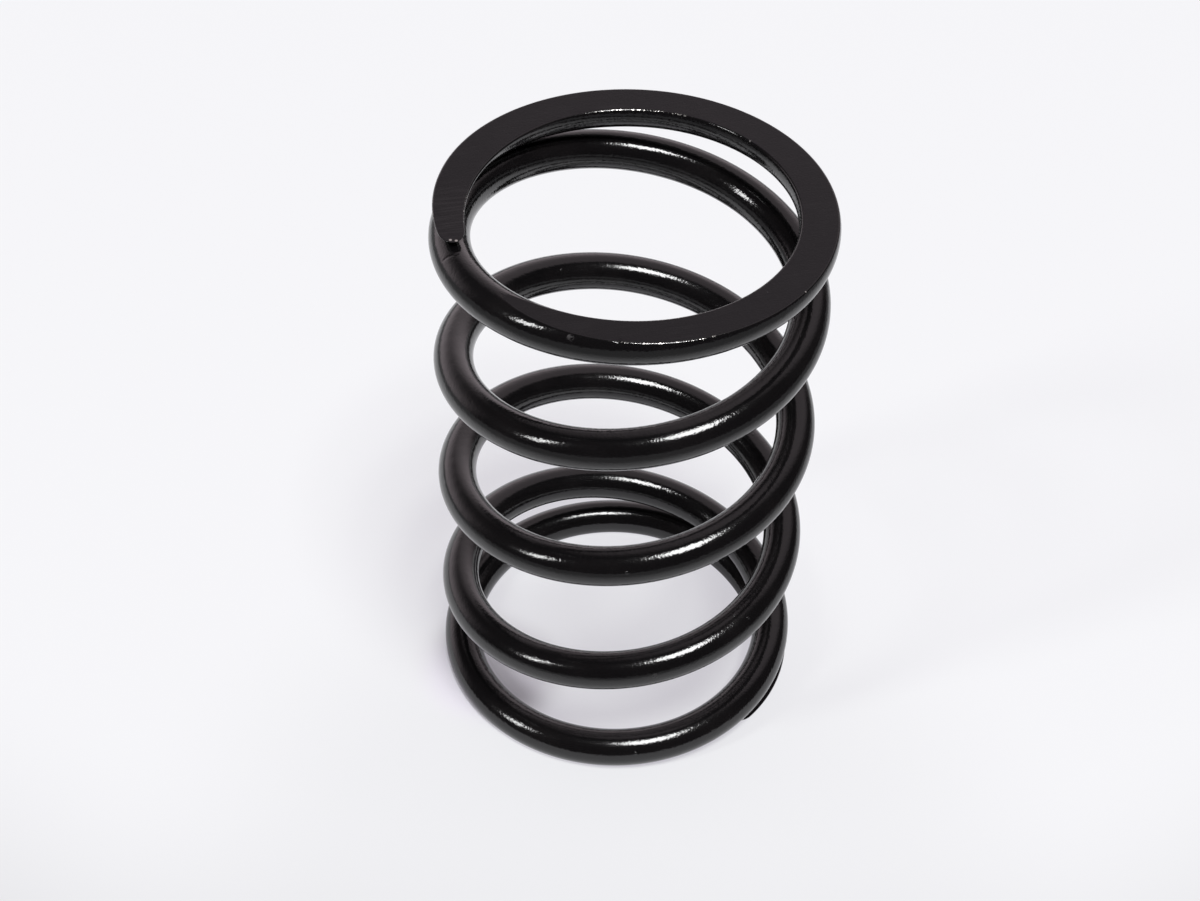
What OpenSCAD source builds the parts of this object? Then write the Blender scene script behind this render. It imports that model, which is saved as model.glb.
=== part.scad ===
// Clutch compression spring: one length of round wire, wound right hand,
// with closed ends that are ground flat. The origin is on the coil's axis,
// at the bottom seat, and +Z runs up the axis. The bottom tip points to +X.

/* [Coil] */
// Diameter of the round wire
wire_d = 5.6; // [4:0.1:6.5]
// Outside diameter of the coil
outer_d = 55; // [45:0.5:70]
// Length of the free spring, from one ground face to the other
free_length = 87; // [75:0.5:110]
// Turns of wire from tip to tip
total_turns = 5.69; // [4.5:0.01:6.2]

/* [Closed ends] */
// Turns that lie flat along the bottom seat before the wire starts to climb
bottom_flat_turns = 0.5; // [0.4:0.01:0.7]
// Turns over which the climb from the bottom seat grows to the full pitch
bottom_rise_turns = 1.04; // [0.8:0.02:1.2]
// Turns that lie flat along the top seat
top_flat_turns = 0.52; // [0.4:0.01:0.7]
// Turns over which the climb to the top seat fades from the full pitch
top_rise_turns = 0.9; // [0.8:0.02:1.2]
// Thickness ground off the wire where it lies flat along the seat
ground_depth = 1.5; // [0.5:0.1:2]
// Clearance between each tip and the turn that it rests on
tip_gap = 0.25; // [0.2:0.05:1]
// Height of the soft bend where the tip leaves the seat to ride on that turn
tip_bend = 2; // [1:0.1:3]
// Length over which the cut end of the wire is rounded off
nose_length = 4; // [2:0.5:8]
// How far the bottom tip springs out from the coil
tip_spread = 0.7; // [0:0.1:1]
// Turns over which it springs out
spread_turns = 0.22; // [0.1:0.01:0.3]

/* [Smoothness] */
// Facets round the wire
wire_facets = 24; // [16:2:24]
// Sections along one turn of the wire
turn_sections = 38; // [30:1:40]
// Sections along each rounded nose
nose_sections = 5; // [3:1:6]

/* [Hidden] */

paint = "#1f1d20";
wire_r = wire_d / 2;
coil_r = outer_d / 2 - wire_r;
turn_length = 2 * PI * coil_r;
// Height of the wire's centre above its seat along the flat turns
seat_z = wire_r - ground_depth;
// Turns that the climbs at both ends would take off a coil of full pitch throughout
lost_turns = bottom_flat_turns + bottom_rise_turns / 2 + top_flat_turns + top_rise_turns / 2;
// Rise of one turn in the open middle of the coil
pitch = (free_length - 2 * seat_z) / (total_turns - lost_turns);
// Turns taken by one rounded nose
nose_turns = nose_length / turn_length;
// Step used to measure the slope of the wire, in turns
slope_step = 0.001;

// Climb of the wire at t turns from a tip, in full pitches
function climb(t, flat, rise) =
    let (q = min(max((t - flat) / rise, 0), 1))
    rise * (pow(q, 3) - pow(q, 4) / 2) + max(t - flat - rise, 0);

// Height of the wire's centre at t turns from a tip, if nothing lifted the tip
function lap_z(t, flat, rise) = seat_z + pitch * climb(t, flat, rise);

// The smaller of two heights, with the corner between them bent over the height k
function soft_min(a, b, k) = min(a, b) - pow(max(k - abs(a - b), 0), 2) / (4 * k);

// Height of the wire's centre above the seat of the nearer end: the wire lies
// along the seat, but near its tip it gives way to the turn that it rests on
function end_z(t, flat, rise) =
    soft_min(lap_z(t, flat, rise), lap_z(t + 1, flat, rise) - wire_d - tip_gap, tip_bend);

// Height of the wire's centre at t turns from the bottom tip
function wire_z(t) =
    t < total_turns / 2
        ? end_z(t, bottom_flat_turns, bottom_rise_turns)
        : free_length - end_z(total_turns - t, top_flat_turns, top_rise_turns);

// Distance of the wire's centre from the axis at t turns from the bottom tip
function run_r(t) =
    let (s = max(1 - t / spread_turns, 0))
    coil_r + tip_spread * s * s * (3 - 2 * s);

// Angle at which the wire climbs at t turns from the bottom tip
function slope(t) =
    atan((wire_z(t + slope_step) - wire_z(t - slope_step)) / (2 * slope_step * turn_length));

// One section of the wire, square to its run, with radius r
function section(t, r) =
    let (turned = 360 * t, lean = slope(t))
    [for (i = [0 : wire_facets - 1])
        let (around = 360 * i / wire_facets,
             out = run_r(t) + r * cos(around),
             along = -r * sin(around) * sin(lean),
             up = r * sin(around) * cos(lean))
        [out * cos(turned) - along * sin(turned),
         out * sin(turned) + along * cos(turned),
         wire_z(t) + up]];

// Sections of the rounded nose at a tip, from the small end to the full wire
function nose() =
    [for (i = [1 : nose_sections])
        let (a = 90 * i / (nose_sections + 1))
        [nose_turns * (1 - cos(a)), wire_r * sin(a)]];

// Place and radius of every section, from the bottom tip to the top tip
function stations() =
    let (body = total_turns - 2 * nose_turns, steps = round(body * turn_sections))
    concat(
        nose(),
        [for (i = [0 : steps]) [nose_turns + body * i / steps, wire_r]],
        [for (i = [nose_sections - 1 : -1 : 0]) [total_turns - nose()[i][0], nose()[i][1]]]);

// The wire before its ends are ground
module wire() {
    rings = [for (s = stations()) section(s[0], s[1])];
    count = len(rings);
    n = wire_facets;
    polyhedron(
        points = [for (ring = rings) each ring],
        faces = concat(
            [[for (i = [n - 1 : -1 : 0]) i]],
            [for (k = [0 : count - 2], i = [0 : n - 1])
                each let (a = k * n + i, b = k * n + (i + 1) % n)
                    [[a, b, a + n], [b, b + n, a + n]]],
            [[for (i = [0 : n - 1]) (count - 1) * n + i]]),
        convexity = 10);
}

// The two grinding wheels leave what lies between the seats
module ground_height() {
    translate([-outer_d, -outer_d, 0])
        cube([2 * outer_d, 2 * outer_d, free_length]);
}

module clutch_spring() {
    color(paint)
        intersection() {
            wire();
            ground_height();
        }
}

clutch_spring();
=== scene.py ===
"""Looks of the clutch spring: one fine mesh of the wire in place of the faceted solid, with its paint and
its marks, in the light of the photograph.

Everything is in metres, in the part's own frame: the coil's axis is Z, the bottom seat is at Z = 0 and the
bottom tip points to +X. Places along the wire are counted in turns.
"""

import math

import bpy
import numpy as np
from mathutils import Matrix, Vector


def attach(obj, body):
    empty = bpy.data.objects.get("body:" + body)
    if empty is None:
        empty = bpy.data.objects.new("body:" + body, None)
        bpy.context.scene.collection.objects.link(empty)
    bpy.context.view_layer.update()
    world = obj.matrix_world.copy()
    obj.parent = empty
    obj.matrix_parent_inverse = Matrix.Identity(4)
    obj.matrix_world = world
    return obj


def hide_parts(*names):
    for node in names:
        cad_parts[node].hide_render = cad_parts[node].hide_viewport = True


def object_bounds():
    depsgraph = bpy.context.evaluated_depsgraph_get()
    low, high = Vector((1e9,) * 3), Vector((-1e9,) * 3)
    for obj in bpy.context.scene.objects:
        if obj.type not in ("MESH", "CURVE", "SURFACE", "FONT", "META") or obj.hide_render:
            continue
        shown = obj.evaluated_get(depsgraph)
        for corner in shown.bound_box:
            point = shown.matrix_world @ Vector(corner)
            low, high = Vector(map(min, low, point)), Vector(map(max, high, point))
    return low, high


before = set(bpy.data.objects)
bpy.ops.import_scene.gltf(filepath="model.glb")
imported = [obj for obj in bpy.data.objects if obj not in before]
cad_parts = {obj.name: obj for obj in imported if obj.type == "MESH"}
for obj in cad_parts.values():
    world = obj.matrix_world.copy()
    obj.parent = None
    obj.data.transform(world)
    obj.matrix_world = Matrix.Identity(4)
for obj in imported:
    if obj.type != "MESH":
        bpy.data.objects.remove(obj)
cad_low, cad_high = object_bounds()

MM = 0.001

# Sizes of the spring, as in the part's source
FREE_LENGTH = cad_high.z - cad_low.z
OUTER_R = min(-cad_low.x, -cad_low.y, cad_high.x, cad_high.y)
WIRE_R = 2.8 * MM
TOTAL_TURNS = 5.69
BOTTOM_FLAT = 0.5
BOTTOM_RISE = 1.04
TOP_FLAT = 0.52
TOP_RISE = 0.9
GROUND_DEPTH = 1.5 * MM
TIP_GAP = 0.25 * MM
TIP_BEND = 2 * MM
NOSE_LENGTH = 4 * MM
TIP_SPREAD = 0.7 * MM
SPREAD_TURNS = 0.22

COIL_R = OUTER_R - WIRE_R
TURN_LENGTH = 2 * math.pi * COIL_R
SEAT_Z = WIRE_R - GROUND_DEPTH
LOST_TURNS = BOTTOM_FLAT + BOTTOM_RISE / 2 + TOP_FLAT + TOP_RISE / 2
PITCH = (FREE_LENGTH - 2 * SEAT_Z) / (TOTAL_TURNS - LOST_TURNS)
SLOPE_STEP = 0.0005                     # turns over which the slope of the wire is measured


def lap_height(t, flat, rise):
    """Height of the wire's centre over its seat, t turns from the tip, before the tip gives way."""
    q = np.clip((t - flat) / rise, 0, 1)
    return SEAT_Z + PITCH * (rise * (q ** 3 - q ** 4 / 2) + np.clip(t - flat - rise, 0, None))


def end_height(t, flat, rise):
    """The same with the tip riding on the next turn."""
    lies = lap_height(t, flat, rise)
    rides = lap_height(t + 1, flat, rise) - 2 * WIRE_R - TIP_GAP
    bend = np.clip(TIP_BEND - abs(lies - rides), 0, None) ** 2 / (4 * TIP_BEND)
    return np.minimum(lies, rides) - bend


def bottom_height(t):
    """Height of the wire's centre over the bottom seat, t turns from the bottom tip."""
    return end_height(t, BOTTOM_FLAT, BOTTOM_RISE)


def top_height(t):
    """Depth of the wire's centre under the top seat, t turns from the top tip."""
    return end_height(t, TOP_FLAT, TOP_RISE)


def wire_height(t):
    """Height of the wire's centre, t turns from the bottom tip."""
    return np.where(t < TOTAL_TURNS / 2, bottom_height(t), FREE_LENGTH - top_height(TOTAL_TURNS - t))


def run_radius(t):
    """Distance of the wire's centre from the axis: the bottom tip springs out a little."""
    near = np.clip(1 - t / SPREAD_TURNS, 0, None)
    return COIL_R + TIP_SPREAD * near ** 2 * (3 - 2 * near)


def wire_slope(t):
    """Angle at which the wire climbs."""
    climb = wire_height(t + SLOPE_STEP) - wire_height(t - SLOPE_STEP)
    return np.arctan(climb / (2 * SLOPE_STEP * TURN_LENGTH))


def wire_radius(from_tip):
    """Radius of the wire at a length from its tip: the cut end is rounded off."""
    return WIRE_R * np.sqrt(1 - np.clip(1 - from_tip / NOSE_LENGTH, 0, 1) ** 2)


def axes(t):
    """Centre of the wire at t turns, and the two directions of its section: out from the coil, and up."""
    turned, lean = 2 * math.pi * t, wire_slope(t)
    flat = np.zeros_like(t)
    out = np.stack([np.cos(turned), np.sin(turned), flat], -1)
    along = np.stack([-np.sin(turned), np.cos(turned), flat], -1)
    up = np.stack([flat, flat, np.cos(lean)], -1) - along * np.sin(lean)[:, None]
    centre = out * run_radius(t)[:, None] + np.stack([flat, flat, wire_height(t)], -1)
    return centre, out, up


def on_wire(from_top, angle):
    """Point on the wire's skin, a number of turns back from the top tip, at an angle round the section in
    degrees: 0 faces out of the coil and 90 up."""
    centre, out, up = axes(np.array([TOTAL_TURNS - from_top]))
    a = math.radians(angle)
    point = centre + WIRE_R * (math.cos(a) * out + math.sin(a) * up)
    return Vector(point[0])


def on_top_face(from_top, outward):
    """Point on the top ground face, a number of turns back from its tip and a length out from the middle of
    the wire."""
    centre, out, _ = axes(np.array([TOTAL_TURNS - from_top]))
    point = Vector((centre + outward * out)[0])
    point.z = FREE_LENGTH
    return point


# Marks pressed into the wire, as the real spring has them: a nick in the outer edge of the top face, and the
# line that was cut into the turn under the top tip
NICK_TURNS = 0.823
EDGE_NICK = on_wire(NICK_TURNS, 48)
NICK_WIDTH = 0.32 * MM
NICK_DEPTH = 0.16 * MM
CUT_TURNS = (1.000, 0.997)
CUT_MARK = (on_wire(CUT_TURNS[0], 48), on_wire(CUT_TURNS[1], 86))
CUT_WIDTH = 0.16 * MM
CUT_DEPTH = 0.07 * MM

# Marks in its paint, and the size of each kind
TIP_BURRS = [on_top_face(0.0122, 0.48 * MM), on_top_face(0.0100, -0.21 * MM)]
BARE_SIZE = 0.24 * MM                   # bare steel at a burr and at the nick
# The flecks, and the chips along stretches of the top face's edges and by its tip, are painted glints: bare
# steel put where those edges mirror the lamps.
GLINT_FLECKS = [on_top_face(0.663, 2.42 * MM), on_top_face(0.438, -2.45 * MM)]
GLINT_FLECK_SIZE = 0.17 * MM
EDGE_GLINTS = [on_top_face(0.785, 2.2 * MM), on_top_face(0.315, -2.45 * MM)]
EDGE_GLINTS_SIZE = 8 * MM                 # from the middle of a stretch of the face's edge with painted glints to its end
TIP_GLINTS = [on_top_face(0.055, 2.35 * MM), on_top_face(0.055, -2.45 * MM)]
TIP_GLINTS_SIZE = 4 * MM
GRIND_MARKS = [on_top_face(0.03, 0.0)]
GRIND_MARKS_SIZE = 12 * MM
SCUFFS = [on_wire(3.780, 15), on_wire(0.859, 39)]
SCUFF_SIZE = 0.6 * MM
PIMPLES = [on_wire(3.683, 53), on_wire(3.691, 86), on_wire(2.808, 26), on_wire(4.793, 30)]
PIMPLE_SIZE = 0.25 * MM

# Smoothness of the mesh along the wire
RING_STEP = 0.8 * MM                    # from ring to ring
FINE_STEP = 0.12 * MM                   # the same beside a pressed mark
FINE_REACH = 1.4 * MM                   # how far the fine rings go to each side of it
TIP_RINGS = 22                          # rings that draw in to the point of each tip
TIP_ZONE = 3.2 * MM                     # the length that they share
THIN_TIP = 0.03 * MM                    # thickness at which a tip ends
HALVINGS = 50                           # of the length in which that place is searched for
TOO_CLOSE = 1 / 3                       # share of FINE_STEP within which one of two rings goes

# Smoothness of the mesh round the wire
HALF_RING = 36                          # steps round half of a section
FACE_STEPS = 7                          # of them, the ones across half of a ground face
FACE_INSIDE = 0.93                      # share of the half face that all those but the last cross
CORNER_STEPS = 4                        # and the ones round the face's broken edge
CORNER_R = 0.3 * MM                     # radius of that edge
CORNER_SHARE = 0.15                     # most of the section's thickness that this radius takes
FACE_ANGLE = math.radians(12)           # angle that the face's steps take where the wire is whole near a tip
CORNER_ANGLE = math.radians(4)          # the same for the edge's steps
ROUND_AGAIN = 1.0                       # turns from a tip at which the wire is whole again
EVEN_TURNS = 0.2                        # turns from there on over which its points spread out evenly
EDGE_FROM = 0.95                        # share of the radius, within which a face has an edge that can carry painted glints
ON_PLANE = 1e-8                         # distance from a seat plane within which points are on its face


def tip_start(height):
    """Length from a tip at which the ground wire is thick enough to be there at all."""
    low, high = 0.0, NOSE_LENGTH
    for _ in range(HALVINGS):
        middle = (low + high) / 2
        thick = wire_radius(middle) + float(height(np.array(middle / TURN_LENGTH)))
        low, high = (low, middle) if thick > THIN_TIP else (middle, high)
    return high


def stations():
    """Turns from the bottom tip of every ring."""
    draw_in = TIP_ZONE * np.linspace(0, 1, TIP_RINGS) ** 2
    bottom = (tip_start(bottom_height) + draw_in) / TURN_LENGTH
    top = TOTAL_TURNS - (tip_start(top_height) + draw_in[::-1]) / TURN_LENGTH
    length = (top[0] - bottom[-1]) * TURN_LENGTH
    middle = np.linspace(bottom[-1], top[0], round(length / RING_STEP))[1:-1]
    reach, step = FINE_REACH / TURN_LENGTH, FINE_STEP / TURN_LENGTH
    for mark in (NICK_TURNS, *CUT_TURNS):
        at = TOTAL_TURNS - mark
        middle = middle[abs(middle - at) > reach]
        middle = np.append(middle, np.arange(at - reach, at + reach, step))
    middle = np.sort(middle)
    middle = middle[np.append(True, np.diff(middle) > step * TOO_CLOSE)]
    return np.concatenate([bottom, middle, top])


def shares():
    """How the points of half a section divide its ground face, the face's broken edge and its round part."""
    face = np.append(np.linspace(0, FACE_INSIDE, FACE_STEPS), 1)
    edge = np.linspace(0, 1, CORNER_STEPS + 1)[1:]
    skin = np.linspace(0, 1, HALF_RING - FACE_STEPS - CORNER_STEPS + 1)[1:]
    return face, edge, skin


def cut_half(radius, reach):
    """Right half of each section, from the bottom to the top, where a seat plane cuts it at reach below its
    centre."""
    face, edge, skin = shares()
    corner = np.minimum(CORNER_R, CORNER_SHARE * (radius + reach))
    middle = np.sqrt(np.clip((radius - corner) ** 2 - (reach - corner) ** 2, 0, None))
    meets = np.arctan2(corner - reach, middle)
    bend = -math.pi / 2 + (meets + math.pi / 2) * edge
    rest = meets + (math.pi / 2 - meets) * skin
    x = [middle * face, middle + corner * np.cos(bend), radius * np.cos(rest)]
    y = [-reach + 0 * face, corner - reach + corner * np.sin(bend), radius * np.sin(rest)]
    return np.concatenate(x, 1), np.concatenate(y, 1)


def whole_half(radius, reach, even):
    """The same where the wire is whole. Its points go from their places next to a cut section, where even is
    0, to equal steps, where even is 1."""
    face, edge, skin = shares()
    rest = FACE_ANGLE + CORNER_ANGLE
    grouped = [FACE_ANGLE * face, FACE_ANGLE + CORNER_ANGLE * edge, rest + (math.pi - rest) * skin]
    equal = np.linspace(0, math.pi, HALF_RING + 1)
    angle = -math.pi / 2 + np.concatenate(grouped) * (1 - even) + equal * even
    return radius * np.cos(angle), np.maximum(radius * np.sin(angle), -reach)


def sections(t):
    """Points of every ring in the plane of its section, out and up, and which of them are on a ground face
    and on its broken edge. A point keeps its number from ring to ring."""
    from_tip = np.minimum(t, TOTAL_TURNS - t)
    at_top = t > TOTAL_TURNS / 2
    height = np.where(at_top, FREE_LENGTH - wire_height(t), wire_height(t))
    radius = wire_radius(from_tip * TURN_LENGTH)[:, None]
    reach = (height / np.cos(wire_slope(t)))[:, None]
    even = np.clip((from_tip - ROUND_AGAIN) / EVEN_TURNS, 0, 1)[:, None]
    is_cut = reach < radius * math.cos(FACE_ANGLE)
    x, y = np.where(is_cut, cut_half(radius, reach), whole_half(radius, reach, even))
    x = np.concatenate([x, -x[:, -2:0:-1]], 1)
    y = np.concatenate([y, y[:, -2:0:-1]], 1)
    number = np.arange(2 * HALF_RING)
    upside_down = (HALF_RING - number) % (2 * HALF_RING)
    number = np.minimum(number, 2 * HALF_RING - number)
    is_corner = (number > FACE_STEPS) & (number < FACE_STEPS + CORNER_STEPS)
    on_face = (abs(y + reach) < ON_PLANE) & (reach < radius)
    on_edge = is_corner & (reach < EDGE_FROM * radius)
    for values in (x, y, on_face, on_edge):
        values[at_top] = values[at_top][:, upside_down]
    y[at_top] *= -1
    return x, y, on_face, on_edge


NO_LENGTH = 1e-9                        # a segment between two equal points counts as this long


def near_segment(points, a, b):
    """Distance of points from the segment between a and b."""
    a, b = np.array(a), np.array(b)
    span = b - a
    share = np.clip((points - a) @ span / max(span @ span, NO_LENGTH ** 2), 0, 1)
    return np.linalg.norm(points - (a + share[..., None] * span), axis=-1)


def press(points, inward, a, b, width, depth):
    """Presses a groove of a width and depth into the points along the segment between a and b."""
    return points + inward * (depth * np.exp(-(near_segment(points, a, b) / width) ** 2))[..., None]


def wire_points():
    """Points of every ring of the wire, with the marks pressed in, and which of them are on a ground face
    and on its edge."""
    t = stations()
    centre, out, up = axes(t)
    x, y, on_face, on_edge = sections(t)
    points = centre[:, None] + x[..., None] * out[:, None] + y[..., None] * up[:, None]
    inward = centre[:, None] - points
    inward /= np.linalg.norm(inward, axis=-1, keepdims=True)
    points = press(points, inward, EDGE_NICK, EDGE_NICK, NICK_WIDTH, NICK_DEPTH)
    points = press(points, inward, *CUT_MARK, CUT_WIDTH, CUT_DEPTH)
    return points, on_face, on_edge


def tube_faces(rings, around):
    """Outward faces of a closed tube of rings. A fan closes each end round a middle point, and the two
    middles are numbered after the rings' points."""
    k = np.arange(rings - 1)[:, None] * around
    i = np.arange(around)
    j = (i + 1) % around
    quads = np.stack([k + i, k + around + i, k + around + j, k + j], -1).reshape(-1, 4)
    first_middle, last_ring = rings * around, (rings - 1) * around
    first_fan = np.stack([np.full(around, first_middle), i, j], -1)
    last_fan = np.stack([np.full(around, first_middle + 1), last_ring + j, last_ring + i], -1)
    return quads.tolist() + first_fan.tolist() + last_fan.tolist()


def wire_mesh():
    """The whole wire as one closed mesh. Attributes name its ground faces and their edges."""
    points, on_face, on_edge = wire_points()
    middles = [points[0].mean(0), points[-1].mean(0)]
    vertices = np.concatenate([points.reshape(-1, 3), middles])
    mesh = bpy.data.meshes.new("wire")
    mesh.from_pydata(vertices.tolist(), [], tube_faces(*points.shape[:2]))
    for name, chosen in (("ground", on_face), ("edge", on_edge)):
        values = np.append(chosen, [False, False]).astype(np.float32)
        mesh.attributes.new(name, "FLOAT", "POINT").data.foreach_set("value", values)
    mesh.shade_smooth()
    mesh.update()
    return mesh


class Shader:
    """Short calls for building the nodes of one material or world."""

    def __init__(self, tree):
        self.tree = tree
        tree.nodes.clear()

    def node(self, kind, settings=None, **inputs):
        """New node. Each input is given by its name, or by i and its number where several share a name."""
        made = self.tree.nodes.new(kind)
        for name, value in (settings or {}).items():
            setattr(made, name, value)
        for name, value in inputs.items():
            numbered = name[0] == "i" and name[1:].isdigit()
            socket = made.inputs[int(name[1:]) if numbered else name.replace("_", " ")]
            if isinstance(value, bpy.types.NodeSocket):
                self.tree.links.new(value, socket)
            else:
                socket.default_value = value
        return made

    def math(self, operation, a, b):
        return self.node("ShaderNodeMath", {"operation": operation}, i0=a, i1=b).outputs[0]

    def times(self, a, b):
        return self.math("MULTIPLY", a, b)

    def plus(self, a, b):
        return self.math("ADD", a, b)

    def most(self, a, b):
        return self.math("MAXIMUM", a, b)

    def vector(self, operation, a, b, output="Vector"):
        return self.node("ShaderNodeVectorMath", {"operation": operation}, i0=a, i1=b).outputs[output]

    def ramp(self, value, low, high, to_low=0.0, to_high=1.0):
        """Smooth step from to_low, where the value is low, to to_high, where it is high."""
        settings = {"interpolation_type": "SMOOTHSTEP"}
        made = self.node("ShaderNodeMapRange", settings, i0=value, i1=low, i2=high, i3=to_low, i4=to_high)
        return made.outputs[0]

    def near(self, where, places, size):
        """1 within half of size from any of the places, falling smoothly to 0 at size."""
        distances = [self.vector("DISTANCE", where, tuple(place), "Value") for place in places]
        spots = [self.ramp(distance, size / 2, size, 1.0, 0.0) for distance in distances]
        found = spots[0]
        for spot in spots[1:]:
            found = self.most(found, spot)
        return found

    def mix(self, share, a, b):
        """Colour between a and b."""
        return self.node("ShaderNodeMix", {"data_type": "RGBA"}, i0=share, i6=a, i7=b).outputs[2]

    def blend(self, share, a, b):
        """Number between a and b."""
        return self.node("ShaderNodeMix", {"data_type": "FLOAT"}, i0=share, i2=a, i3=b).outputs[0]

    def noise(self, where, size, detail, rough=0.5):
        """Noise whose features are about size metres across, from 0 to 1."""
        made = self.node("ShaderNodeTexNoise", Vector=where, Scale=1 / size, Detail=detail, Roughness=rough)
        return made.outputs[0]

    def bump(self, height, depth, **normal):
        """Normal of a surface that rises by depth where height goes from 0 to 1, over another Normal."""
        return self.node("ShaderNodeBump", Height=height, Distance=depth, Strength=1.0, **normal).outputs[0]

    def attribute(self, name):
        return self.node("ShaderNodeAttribute", {"attribute_name": name}).outputs["Fac"]


def colour(red, green, blue):
    return (red, green, blue, 1.0)


# Colours, roughness and shine. A RANGE is the pair of values between which something goes from none to all
# of it, and a ROUGH pair is the least and the most roughness of a surface.
PAINT = colour(0.0038, 0.0035, 0.0039)
PAINT_DUSTY = colour(0.0070, 0.0062, 0.0066)
GROUND_PAINT = colour(0.0070, 0.0060, 0.0072)
GROUND_PAINT_WORN = colour(0.0175, 0.0155, 0.0172)
SCUFFED = colour(0.020, 0.018, 0.019)
# Bare steel, which also paints the glints along the top face's edges
STEEL = colour(0.62, 0.60, 0.57)
SKIN_ROUGH = (0.1, 0.15)
FACE_ROUGH = (0.42, 0.54)
SCUFF_ROUGHNESS = 0.5
STEEL_ROUGHNESS = 0.3
PAINT_IOR = 1.5
SKIN_SHINE = 0.6
FACE_SHINE = 0.2
GROUND_RANGE = (0.3, 0.9)

# Patches of thin dust over the skin, and the fine unevenness of the paint
DUST_SIZE = 9 * MM
DUST_RANGE = (0.45, 0.75)
DUST_SHARE = 0.8                        # share of its colour that the dust shows where it is thickest
FINE_SIZE = 0.5 * MM
FINE_SHARE = 0.6                        # share of the fine unevenness in the roughness; the rest is patches
UNEVEN_RANGE = (0.3, 0.7)
SCUFF_RANGE = (0.35, 0.6)

# Grinding lines under the paint of the ground faces
GRIND_DIRECTION = math.radians(60)
LINE_WIDTH = 0.28 * MM
LINE_SQUEEZE = (0.04, 1.0, 1.0)         # draws the noise out along the lines
LINE_RANGE = (0.42, 0.66)
LINE_ROUGH_RANGE = (0.2, 0.8)
LINE_DEPTH = 0.012 * MM
WORN_SIZE = 4 * MM
WORN_RANGE = (0.45, 0.75)
WORN_SHARES = (0.15, 0.5)               # how much the lines show outside and inside a worn patch

# Chips of bare steel that paint the glints along the top face's edges
GLINT_DOT_SIZE = 0.25 * MM
GLINT_DOT_RANGE = (0.54, 0.64)
EDGE_RANGE = (0.5, 0.95)
TIP_GLINTS_SHARE = 0.5                    # how bare the painted glint chips by the tip are

# Relief of the paint, and specks strewn under it
PEEL_SIZE = 1.6 * MM
PEEL_DEPTH = 0.02 * MM
GRAIN_SIZE = 0.3 * MM
GRAIN_DEPTH = 0.02 * MM
PIMPLE_DEPTH = 0.05 * MM
SPECK_CELL = 5 * MM                     # room that each speck has
SPECK_TOP, SPECK_RIM = 0.015, 0.045     # distances from its middle, as shares of that room
SPECKLESS = 0.5                         # share of the rooms that stay empty


def grinding_lines(s, where):
    """Fine lines across the ground faces, all in one direction."""
    about_z = {"rotation_type": "Z_AXIS"}
    turned = s.node("ShaderNodeVectorRotate", about_z, Vector=where, Angle=-GRIND_DIRECTION)
    drawn_out = s.vector("MULTIPLY", turned.outputs[0], LINE_SQUEEZE)
    return s.noise(drawn_out, LINE_WIDTH, detail=3, rough=0.7)


def face_colour(s, where, lines):
    """Paint of the ground faces, with the grinding lines showing in worn patches and by the top tip."""
    worn = s.ramp(s.noise(where, WORN_SIZE, detail=3), *WORN_RANGE, *WORN_SHARES)
    shows = s.most(worn, s.near(where, GRIND_MARKS, GRIND_MARKS_SIZE))
    return s.mix(s.times(shows, s.ramp(lines, *LINE_RANGE)), GROUND_PAINT, GROUND_PAINT_WORN)


def bare_steel_and_glints(s, where):
    """1 where the paint is gone, at the nick and the burrs, and where bare steel paints glints of the lamps:
    the flecks, and chips along stretches of the top face's edges.
    """
    spots = s.most(s.near(where, TIP_BURRS + [EDGE_NICK], BARE_SIZE), s.near(where, GLINT_FLECKS, GLINT_FLECK_SIZE))
    tip_glints = s.times(s.near(where, TIP_GLINTS, TIP_GLINTS_SIZE), TIP_GLINTS_SHARE)
    glints = s.most(s.near(where, EDGE_GLINTS, EDGE_GLINTS_SIZE), tip_glints)
    glinting_edge = s.times(s.ramp(s.attribute("edge"), *EDGE_RANGE), glints)
    glint_dots = s.ramp(s.noise(where, GLINT_DOT_SIZE, detail=1), *GLINT_DOT_RANGE)
    return s.most(spots, s.times(glinting_edge, glint_dots))


def pimples(s, where):
    """Specks under the paint: the real spring's in their places, and a few strewn over the rest."""
    cells = s.node("ShaderNodeTexVoronoi", Vector=where, Scale=1 / SPECK_CELL)
    specks = s.ramp(cells.outputs["Distance"], SPECK_TOP, SPECK_RIM, 1.0, 0.0)
    chance = s.node("ShaderNodeSeparateColor", Color=cells.outputs["Color"]).outputs[0]
    specks = s.times(specks, s.math("GREATER_THAN", chance, SPECKLESS))
    return s.most(specks, s.near(where, PIMPLES, PIMPLE_SIZE))


def relief(s, where, lines, ground):
    """Normal of the paint, with its peel and grain, the pimples and the grinding lines."""
    normal = s.bump(s.noise(where, PEEL_SIZE, detail=1), PEEL_DEPTH)
    normal = s.bump(s.noise(where, GRAIN_SIZE, detail=1, rough=0.4), GRAIN_DEPTH, Normal=normal)
    normal = s.bump(pimples(s, where), PIMPLE_DEPTH, Normal=normal)
    return s.bump(s.times(lines, ground), LINE_DEPTH, Normal=normal)


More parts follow.
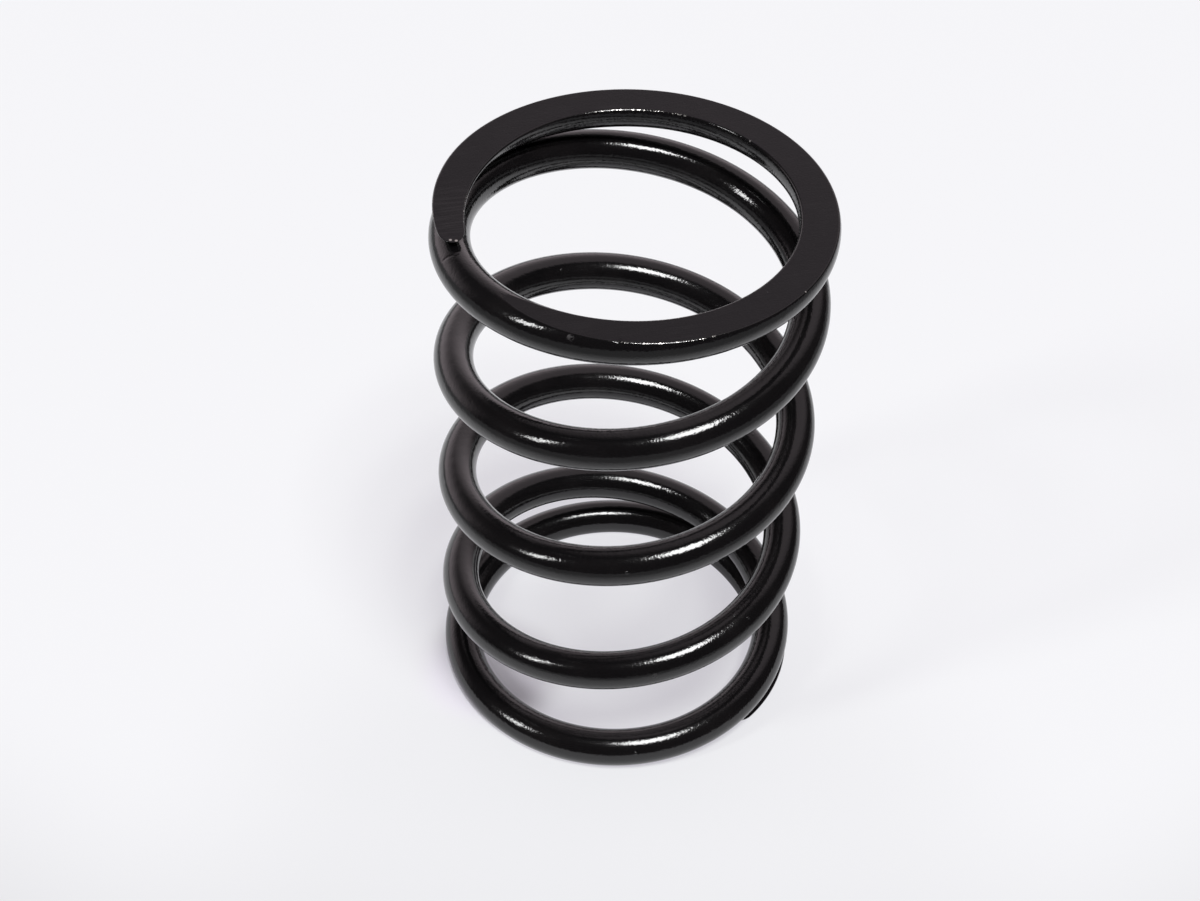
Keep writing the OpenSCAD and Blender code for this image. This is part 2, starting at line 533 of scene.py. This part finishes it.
def paint_material():
    """Satin black paint on the skin and the ground faces, with its marks, the few spots of bare steel, and
    bare steel that paints glints along the top face's edges.
    """
    material = bpy.data.materials.new("satin_black_paint")
    material.use_nodes = True
    s = Shader(material.node_tree)
    where = s.node("ShaderNodeTexCoord").outputs["Object"]
    ground = s.ramp(s.attribute("ground"), *GROUND_RANGE)
    patches = s.noise(where, DUST_SIZE, detail=3)
    fine = s.noise(where, FINE_SIZE, detail=2)
    lines = grinding_lines(s, where)
    # Bare steel: real at the nick and the burrs, and painted glints in the flecks and in the chips along the
    # top face's edges.
    bare_and_glints = bare_steel_and_glints(s, where)
    scuffs = s.times(s.near(where, SCUFFS, SCUFF_SIZE), s.ramp(fine, *SCUFF_RANGE))

    dust = s.times(s.ramp(patches, *DUST_RANGE), DUST_SHARE)
    base = s.mix(ground, s.mix(dust, PAINT, PAINT_DUSTY), face_colour(s, where, lines))
    base = s.mix(scuffs, base, SCUFFED)
    base = s.mix(bare_and_glints, base, STEEL)

    uneven = s.plus(s.times(fine, FINE_SHARE), s.times(patches, 1 - FINE_SHARE))
    rough_skin = s.ramp(uneven, *UNEVEN_RANGE, *SKIN_ROUGH)
    rough_face = s.ramp(lines, *LINE_ROUGH_RANGE, *FACE_ROUGH)
    rough = s.blend(bare_and_glints, s.blend(ground, rough_skin, rough_face), STEEL_ROUGHNESS)
    rough = s.blend(scuffs, rough, SCUFF_ROUGHNESS)

    normal = relief(s, where, lines, ground)
    shine = s.blend(ground, SKIN_SHINE, FACE_SHINE)
    paint = s.node("ShaderNodeBsdfPrincipled", Base_Color=base, Metallic=bare_and_glints, Roughness=rough,
                   IOR=PAINT_IOR, Specular_IOR_Level=shine, Normal=normal)
    s.node("ShaderNodeOutputMaterial", Surface=paint.outputs[0])
    return material


def add_spring():
    """The piece that shows the part: the whole wire."""
    mesh = wire_mesh()
    mesh.materials.append(paint_material())
    spring = bpy.data.objects.new("spring_wire", mesh)
    bpy.context.scene.collection.objects.link(spring)
    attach(spring, "root")
    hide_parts("clutch_spring")


def direction(azimuth, elevation):
    """Direction from the spring, with the azimuth counted from -Y towards +X."""
    a, e = math.radians(azimuth), math.radians(elevation)
    return Vector((math.sin(a) * math.cos(e), -math.cos(a) * math.cos(e), math.sin(e)))


# Camera of the photograph, with its angles in degrees and, as Blender takes it, its sensor in millimetres
IMAGE_W = 1200
FOCAL_PX = 2079.3
CAMERA_AZIMUTH = 45.63
CAMERA_ELEVATION = 44.85
CAMERA_ROLL = -1.93
CAMERA_DISTANCE = 307.2 * MM
AIM = Vector((0, 0, 42.0 * MM))
SLIDE_RIGHT = 3.54 * MM                 # how far right of the picture's middle AIM lies, before the roll
SLIDE_UP = 0.35 * MM                    # and how far above it
SENSOR_W = 36.0
NEAREST_SEEN = 10 * MM


def add_camera():
    """Camera that sees the spring as the photograph does."""
    back = direction(CAMERA_AZIMUTH, CAMERA_ELEVATION)
    right = direction(CAMERA_AZIMUTH + 90, 0)
    up = back.cross(right)
    roll = math.radians(CAMERA_ROLL)
    across = math.cos(roll) * right - math.sin(roll) * up
    upward = math.sin(roll) * right + math.cos(roll) * up
    place = AIM + CAMERA_DISTANCE * back - SLIDE_RIGHT * right - SLIDE_UP * up
    data = bpy.data.cameras.new("camera")
    data.sensor_width = SENSOR_W
    data.lens = SENSOR_W * FOCAL_PX / IMAGE_W
    data.clip_start = NEAREST_SEEN
    camera = bpy.data.objects.new("camera", data)
    camera.matrix_world = Matrix.Translation(place) @ Matrix((across, upward, back)).transposed().to_4x4()
    bpy.context.scene.collection.objects.link(camera)
    bpy.context.scene.camera = camera


# Floor. What is seen of it has two parts: one that shadows take away, and one that they leave, which glows.
FLOOR_SIZE = 8.0
FLOOR_WHITE = colour(0.93, 0.93, 0.93)  # as it lights the spring
FLOOR_SUNNY = colour(0.87, 0.92, 0.86)  # the first part
FLOOR_SHADY = colour(0.91, 0.885, 0.965)
FLOOR_GLOW = 0.6                        # share of the second part
FOOT_GLOW = 0.2                         # the same inside the left of the coil's foot, with its deep shade
FOOT_SHADE_AT = Vector((-8, -20.5, 0)) * MM
FOOT_SHADE_SIZE = 14 * MM
NEAR_DIM = 0.955                        # share of its white that the floor keeps in front of the spring
NEAR_DIM_AT = direction(CAMERA_AZIMUTH, 0) * 45 * MM
NEAR_DIM_SIZE = 75 * MM

# The photograph shows none of the floor outside LIT_R from a point behind the spring. It is dimmer there,
# because the undersides of the turns mirror it and are dark.
LIT_MIDDLE = direction(CAMERA_AZIMUTH + 180, 0) * 130 * MM
LIT_R = 170 * MM
DARK_R = 300 * MM
OUTER_DIM = 0.32                        # share of its white that is left beyond DARK_R


def floor_material():
    """White that keeps the spring's shadow and is seen as pale as the photograph's ground."""
    material = bpy.data.materials.new("white_floor")
    material.use_nodes = True
    s = Shader(material.node_tree)
    path = s.node("ShaderNodeLightPath").outputs
    mirrored = s.most(path["Is Glossy Ray"], path["Is Transmission Ray"])
    seen = s.most(path["Is Camera Ray"], mirrored)
    where = s.node("ShaderNodeTexCoord").outputs["Object"]
    in_front = s.near(where, [NEAR_DIM_AT], NEAR_DIM_SIZE)
    at_foot = s.near(where, [FOOT_SHADE_AT], FOOT_SHADE_SIZE)
    away = s.vector("DISTANCE", where, tuple(LIT_MIDDLE), "Value")
    white = s.times(s.blend(in_front, 1.0, NEAR_DIM), s.ramp(away, LIT_R, DARK_R, 1.0, OUTER_DIM))
    whites = s.node("ShaderNodeCombineXYZ", X=white, Y=white, Z=white).outputs[0]
    sunny = s.vector("MULTIPLY", s.mix(at_foot, FLOOR_SUNNY, FLOOR_SHADY), whites)
    lit = s.node("ShaderNodeBsdfDiffuse", Color=s.mix(seen, FLOOR_WHITE, sunny)).outputs[0]
    glow = s.node("ShaderNodeEmission", Color=FLOOR_SHADY, Strength=white).outputs[0]
    share = s.times(seen, s.blend(at_foot, FLOOR_GLOW, FOOT_GLOW))
    shown = s.node("ShaderNodeMixShader", Fac=share, i1=lit, i2=glow)
    s.node("ShaderNodeOutputMaterial", Surface=shown.outputs[0])
    return material


def add_floor():
    """Pale floor under the spring. It isn't part of the object."""
    half = FLOOR_SIZE / 2
    corners = [(-half, -half, 0), (half, -half, 0), (half, half, 0), (-half, half, 0)]
    mesh = bpy.data.meshes.new("floor")
    mesh.from_pydata(corners, [], [(0, 1, 2, 3)])
    mesh.materials.append(floor_material())
    floor = bpy.data.objects.new("floor", mesh)
    floor.location.z = cad_low.z
    bpy.context.scene.collection.objects.link(floor)


# Lamps. Full power is what lights a level floor at the plain level from straight above.
LAMP_DISTANCE = 6.0
FULL_POWER = math.pi ** 2 * LAMP_DISTANCE ** 2


def add_lamp(name, azimuth, elevation, width, height, share):
    """Soft lamp. Its azimuth is counted from the camera's, width and height are the angles that it spans,
    all in degrees, and share is the part of the plain light level that it gives to a level floor."""
    data = bpy.data.lights.new(name, "AREA")
    data.shape = "ELLIPSE"
    data.size = 2 * LAMP_DISTANCE * math.tan(math.radians(width / 2))
    data.size_y = 2 * LAMP_DISTANCE * math.tan(math.radians(height / 2))
    data.energy = FULL_POWER * share / math.sin(math.radians(elevation))
    lamp = bpy.data.objects.new(name, data)
    towards = direction(CAMERA_AZIMUTH + azimuth, elevation)
    lamp.location = towards * LAMP_DISTANCE
    lamp.rotation_mode = "QUATERNION"
    lamp.rotation_quaternion = towards.to_track_quat("Z", "Y")
    bpy.context.scene.collection.objects.link(lamp)


# Room round the spring, as its paint mirrors it. The middle of its pale band and of its pale spot is an
# azimuth from the camera's, with an elevation. Each starts at the first cosine to its middle and is full at
# the second.
ROOM_TINT = colour(1.0, 0.88, 0.93)
ROOM_DIM = 0.05
BAND_MIDDLE = (-160, 0)
BAND_COSINES = (0.3, 0.85)
BAND_FULL, BAND_GONE = 0.1, 0.65        # sines of the elevations between which the band fades
BAND_STRENGTH = 1.1
SPOT_MIDDLE = (155, 48)
SPOT_COSINES = (0.75, 0.97)
SPOT_STRENGTH = 0.5


def facing(s, where, azimuth, elevation):
    """Cosine of the angle between a direction and an azimuth from the camera's with an elevation."""
    return s.vector("DOT_PRODUCT", where, tuple(direction(CAMERA_AZIMUTH + azimuth, elevation)), "Value")


def add_world():
    """Dim room with a paler band low down, beyond the spring and a little to its left, and a paler spot
    higher up, a little to its right."""
    world = bpy.data.worlds.new("room")
    world.use_nodes = True
    s = Shader(world.node_tree)
    where = s.node("ShaderNodeTexCoord").outputs["Generated"]
    height = s.node("ShaderNodeSeparateXYZ", Vector=where).outputs["Z"]
    band = s.ramp(facing(s, where, *BAND_MIDDLE), *BAND_COSINES)
    band = s.times(s.ramp(height, BAND_FULL, BAND_GONE, 1.0, 0.0), band)
    spot = s.ramp(facing(s, where, *SPOT_MIDDLE), *SPOT_COSINES)
    strength = s.plus(s.times(band, BAND_STRENGTH), s.times(spot, SPOT_STRENGTH))
    sky = s.node("ShaderNodeBackground", Color=ROOM_TINT, Strength=s.plus(strength, ROOM_DIM))
    s.node("ShaderNodeOutputWorld", Surface=sky.outputs[0])
    bpy.context.scene.world = world


add_camera()
add_spring()
add_floor()
add_world()
add_lamp("overhead_lamp", azimuth=27, elevation=71, width=20, height=23, share=0.79)
add_lamp("side_lamp", azimuth=-65, elevation=37, width=8, height=19, share=0.14)
bpy.context.scene.view_settings.view_transform = "Standard"
